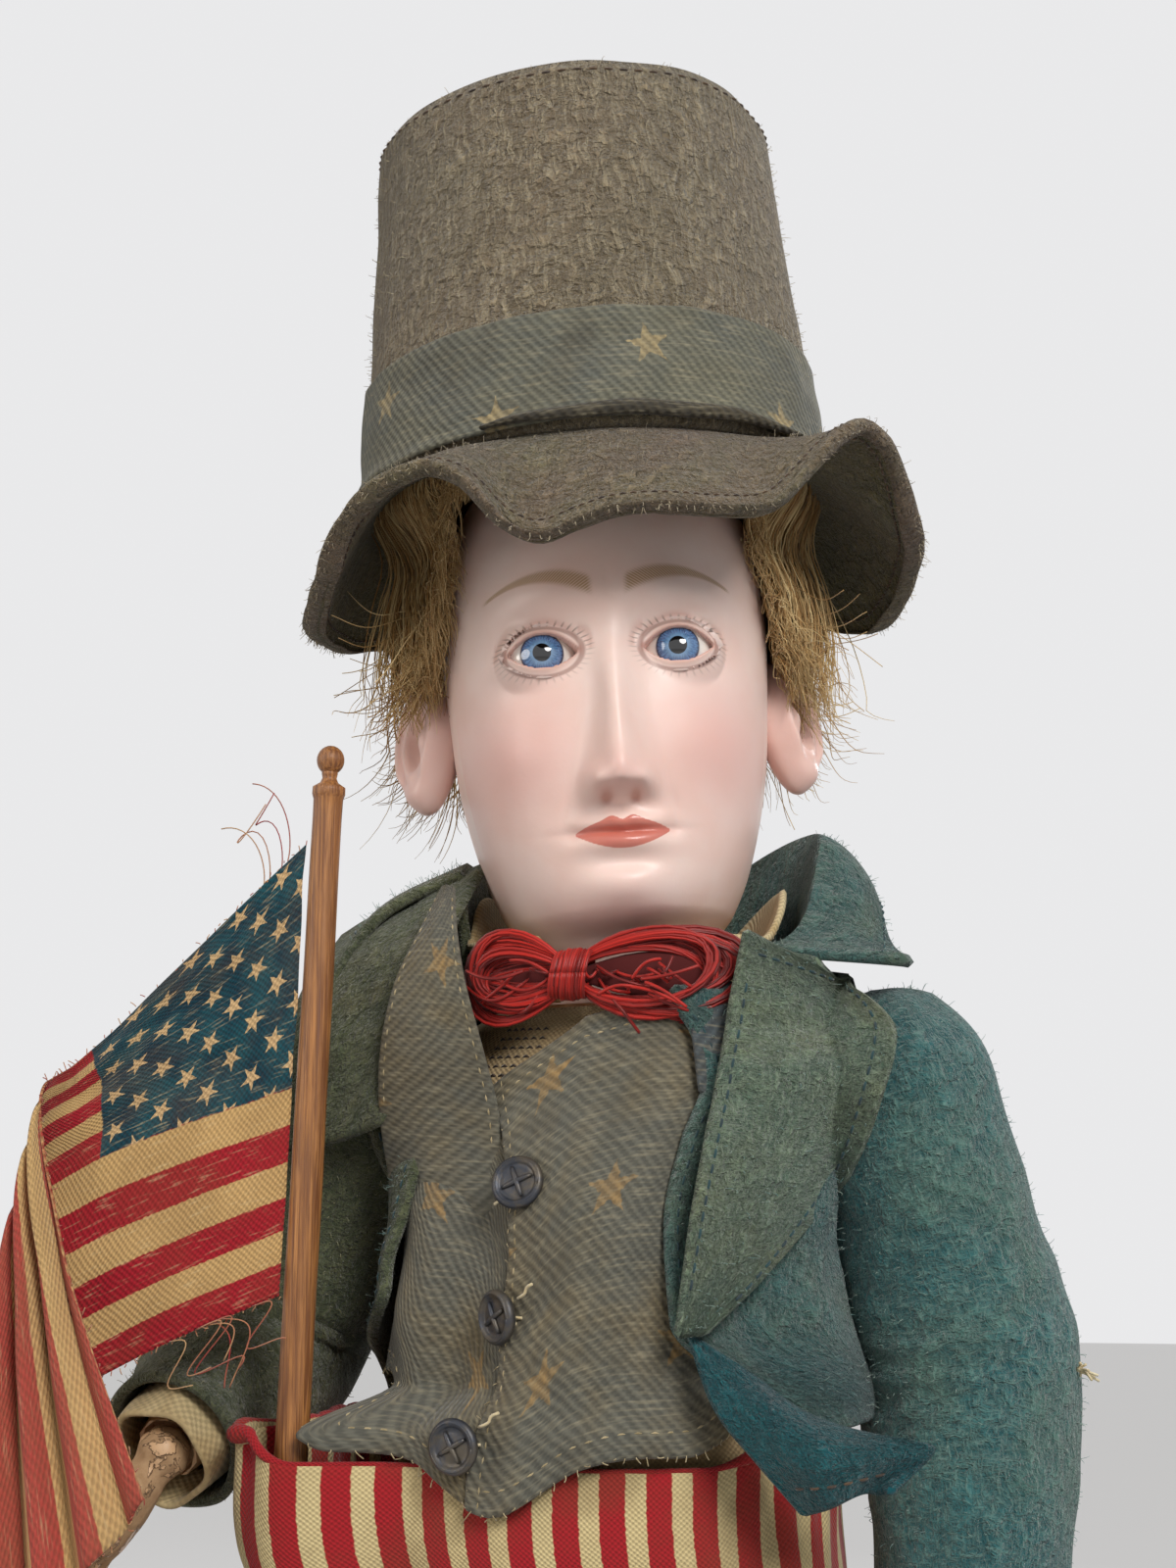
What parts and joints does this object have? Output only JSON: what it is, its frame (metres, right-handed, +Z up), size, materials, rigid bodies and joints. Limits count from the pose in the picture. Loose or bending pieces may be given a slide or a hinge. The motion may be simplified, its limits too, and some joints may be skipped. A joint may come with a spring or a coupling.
{
  "type": "jointed doll",
  "caption": "Jointed bisque-head doll in a felt top hat, tailcoat, twill vest and striped trousers, with a small cotton flag on a stick tucked in its waist.",
  "frame": {"origin": "on the surface the doll stands on, under the middle of its outline", "axes": "+Z up, -Y to the front (the way the body faces), +X to the doll's own left"},
  "size_m": [0.1542, 0.0936, 0.4106],
  "materials": {
    "composition": "satin",
    "bisque": "satin",
    "eye_glass": "gloss",
    "mohair": "satin",
    "pate_card": "matte",
    "hook_steel": "satin",
    "lining_leather": "matte",
    "hat_felt": "matte",
    "star_twill": "matte",
    "coat_felt": "matte",
    "shirt_cotton": "matte",
    "tie_silk": "satin",
    "striped_cotton": "matte",
    "flag_cotton": "matte",
    "button": "satin",
    "stick_wood": "satin",
    "bead_wood": "matte",
    "elastic": "matte",
    "shoe_leather": "satin"
  },
  "bodies": {
    "trunk": {"torso": "composition", "shirt": "shirt_cotton", "shirt_collar": "shirt_cotton", "bow_tie": "tie_silk", "vest": "star_twill", "vest_button_1": "button", "vest_button_2": "button", "vest_button_3": "button", "coat_body": "coat_felt", "coat_collar": "coat_felt", "left_lapel": "coat_felt", "right_lapel": "coat_felt", "left_tail": "coat_felt", "right_tail": "coat_felt", "coat_corner": "coat_felt", "trousers_seat": "striped_cotton", "arm_elastic": "elastic", "leg_elastic": "elastic"},
    "neck": {"neck_lining": "lining_leather"},
    "head": {"head_shell": "bisque", "left_eye": "eye_glass", "right_eye": "eye_glass", "pate": "pate_card", "wig": "mohair", "neck_hook": "hook_steel"},
    "hat": {"hat_crown": "hat_felt", "hat_band": "star_twill", "hat_brim": "hat_felt"},
    "left_shoulder": {"left_shoulder_bead": "bead_wood"},
    "left_upper_arm": {"left_upper_arm": "composition", "left_sleeve_upper": "coat_felt"},
    "left_forearm": {"left_forearm": "composition", "left_sleeve_lower": "coat_felt"},
    "left_hand": {"left_hand": "composition"},
    "right_shoulder": {"right_shoulder_bead": "bead_wood"},
    "right_upper_arm": {"right_upper_arm": "composition", "right_sleeve_upper": "coat_felt"},
    "right_forearm": {"right_forearm": "composition", "right_sleeve_lower": "coat_felt"},
    "right_hand": {"right_hand": "composition"},
    "left_thigh": {"left_hip_bead": "bead_wood", "left_thigh": "composition", "left_trouser_upper": "striped_cotton"},
    "left_shin": {"left_shin": "composition", "left_trouser_lower": "striped_cotton", "left_shoe": "shoe_leather", "left_sole": "shoe_leather"},
    "right_thigh": {"right_hip_bead": "bead_wood", "right_thigh": "composition", "right_trouser_upper": "striped_cotton"},
    "right_shin": {"right_shin": "composition", "right_trouser_lower": "striped_cotton", "right_shoe": "shoe_leather", "right_sole": "shoe_leather"},
    "flag": {"flag_stick": "stick_wood", "flag": "flag_cotton"}
  },
  "joints": [
    {"name": "neck_turn", "type": "hinge", "parent": "trunk", "child": "neck", "pos_m": [0.00986, 0.00208, 0.264], "axis": [0, 0, 1], "range_deg": [-52, 34], "deforming": ["shirt_collar", "leg_elastic"]},
    {"name": "neck_nod", "type": "hinge", "parent": "neck", "child": "head", "pos_m": [0.00986, 0.00208, 0.264], "axis": [0.9726, 0.2245, 0.0611], "range_deg": [-7, 2]},
    {"name": "hat_lift", "type": "slide", "parent": "head", "child": "hat", "axis": [-0.0595, -0.0137, 0.9981], "range_m": [0, 0.06]},
    {"name": "left_shoulder_swing", "type": "hinge", "parent": "trunk", "child": "left_shoulder", "pos_m": [0.05086, 0.00308, 0.254], "axis": [-1, 0, 0], "range_deg": [-40, 95], "deforming": ["left_sleeve_upper", "left_lapel", "coat_corner"]},
    {"name": "left_shoulder_lift", "type": "hinge", "parent": "left_shoulder", "child": "left_upper_arm", "pos_m": [0.05086, 0.00308, 0.254], "axis": [0, -1, 0], "range_deg": [-4, 75]},
    {"name": "left_elbow", "type": "hinge", "parent": "left_upper_arm", "child": "left_forearm", "pos_m": [0.06061, 0.00495, 0.21371], "axis": [-0.9719, 0, -0.2352], "range_deg": [-15, 85], "deforming": ["left_sleeve_lower"]},
    {"name": "left_wrist", "type": "hinge", "parent": "left_forearm", "child": "left_hand", "pos_m": [0.05956, -0.00065, 0.17917], "axis": [-0.03, -0.1601, -0.9866], "range_deg": [-60, 60]},
    {"name": "right_shoulder_swing", "type": "hinge", "parent": "trunk", "child": "right_shoulder", "pos_m": [-0.03114, 0.00308, 0.254], "axis": [-1, 0, 0], "range_deg": [-40, 4], "deforming": ["right_sleeve_upper", "right_lapel"]},
    {"name": "right_shoulder_lift", "type": "hinge", "parent": "right_shoulder", "child": "right_upper_arm", "pos_m": [-0.03114, 0.00308, 0.254], "axis": [0, 1, 0], "range_deg": [-5, 60]},
    {"name": "right_elbow", "type": "hinge", "parent": "right_upper_arm", "child": "right_forearm", "pos_m": [-0.04975, 0.01113, 0.21779], "axis": [-0.8936, -0.0726, 0.4431], "range_deg": [-68, 4], "deforming": ["right_sleeve_lower"]},
    {"name": "right_wrist", "type": "hinge", "parent": "right_forearm", "child": "right_hand", "pos_m": [-0.05491, -0.01983, 0.20231], "axis": [-0.1474, -0.8846, -0.4423], "range_deg": [-40, 40]},
    {"name": "left_hip", "type": "hinge", "parent": "trunk", "child": "left_thigh", "pos_m": [0.02846, 0.00208, 0.171], "axis": [-1, 0, 0], "range_deg": [-8, 85], "deforming": ["left_trouser_upper", "trousers_seat", "left_tail"]},
    {"name": "left_knee", "type": "hinge", "parent": "left_thigh", "child": "left_shin", "pos_m": [0.02846, 0.00208, 0.093], "axis": [1, 0, 0], "range_deg": [0, 88], "deforming": ["left_trouser_lower"]},
    {"name": "right_hip", "type": "hinge", "parent": "trunk", "child": "right_thigh", "pos_m": [-0.00874, 0.00208, 0.171], "axis": [-1, 0, 0], "range_deg": [-8, 85], "deforming": ["right_trouser_upper", "trousers_seat", "right_tail"]},
    {"name": "right_knee", "type": "hinge", "parent": "right_thigh", "child": "right_shin", "pos_m": [-0.00874, 0.00208, 0.093], "axis": [1, 0, 0], "range_deg": [0, 88], "deforming": ["right_trouser_lower"]},
    {"name": "flag_pull", "type": "slide", "parent": "trunk", "child": "flag", "axis": [0.0348, 0.0054, 0.9994], "range_m": [0, 0.018]}
  ]
}
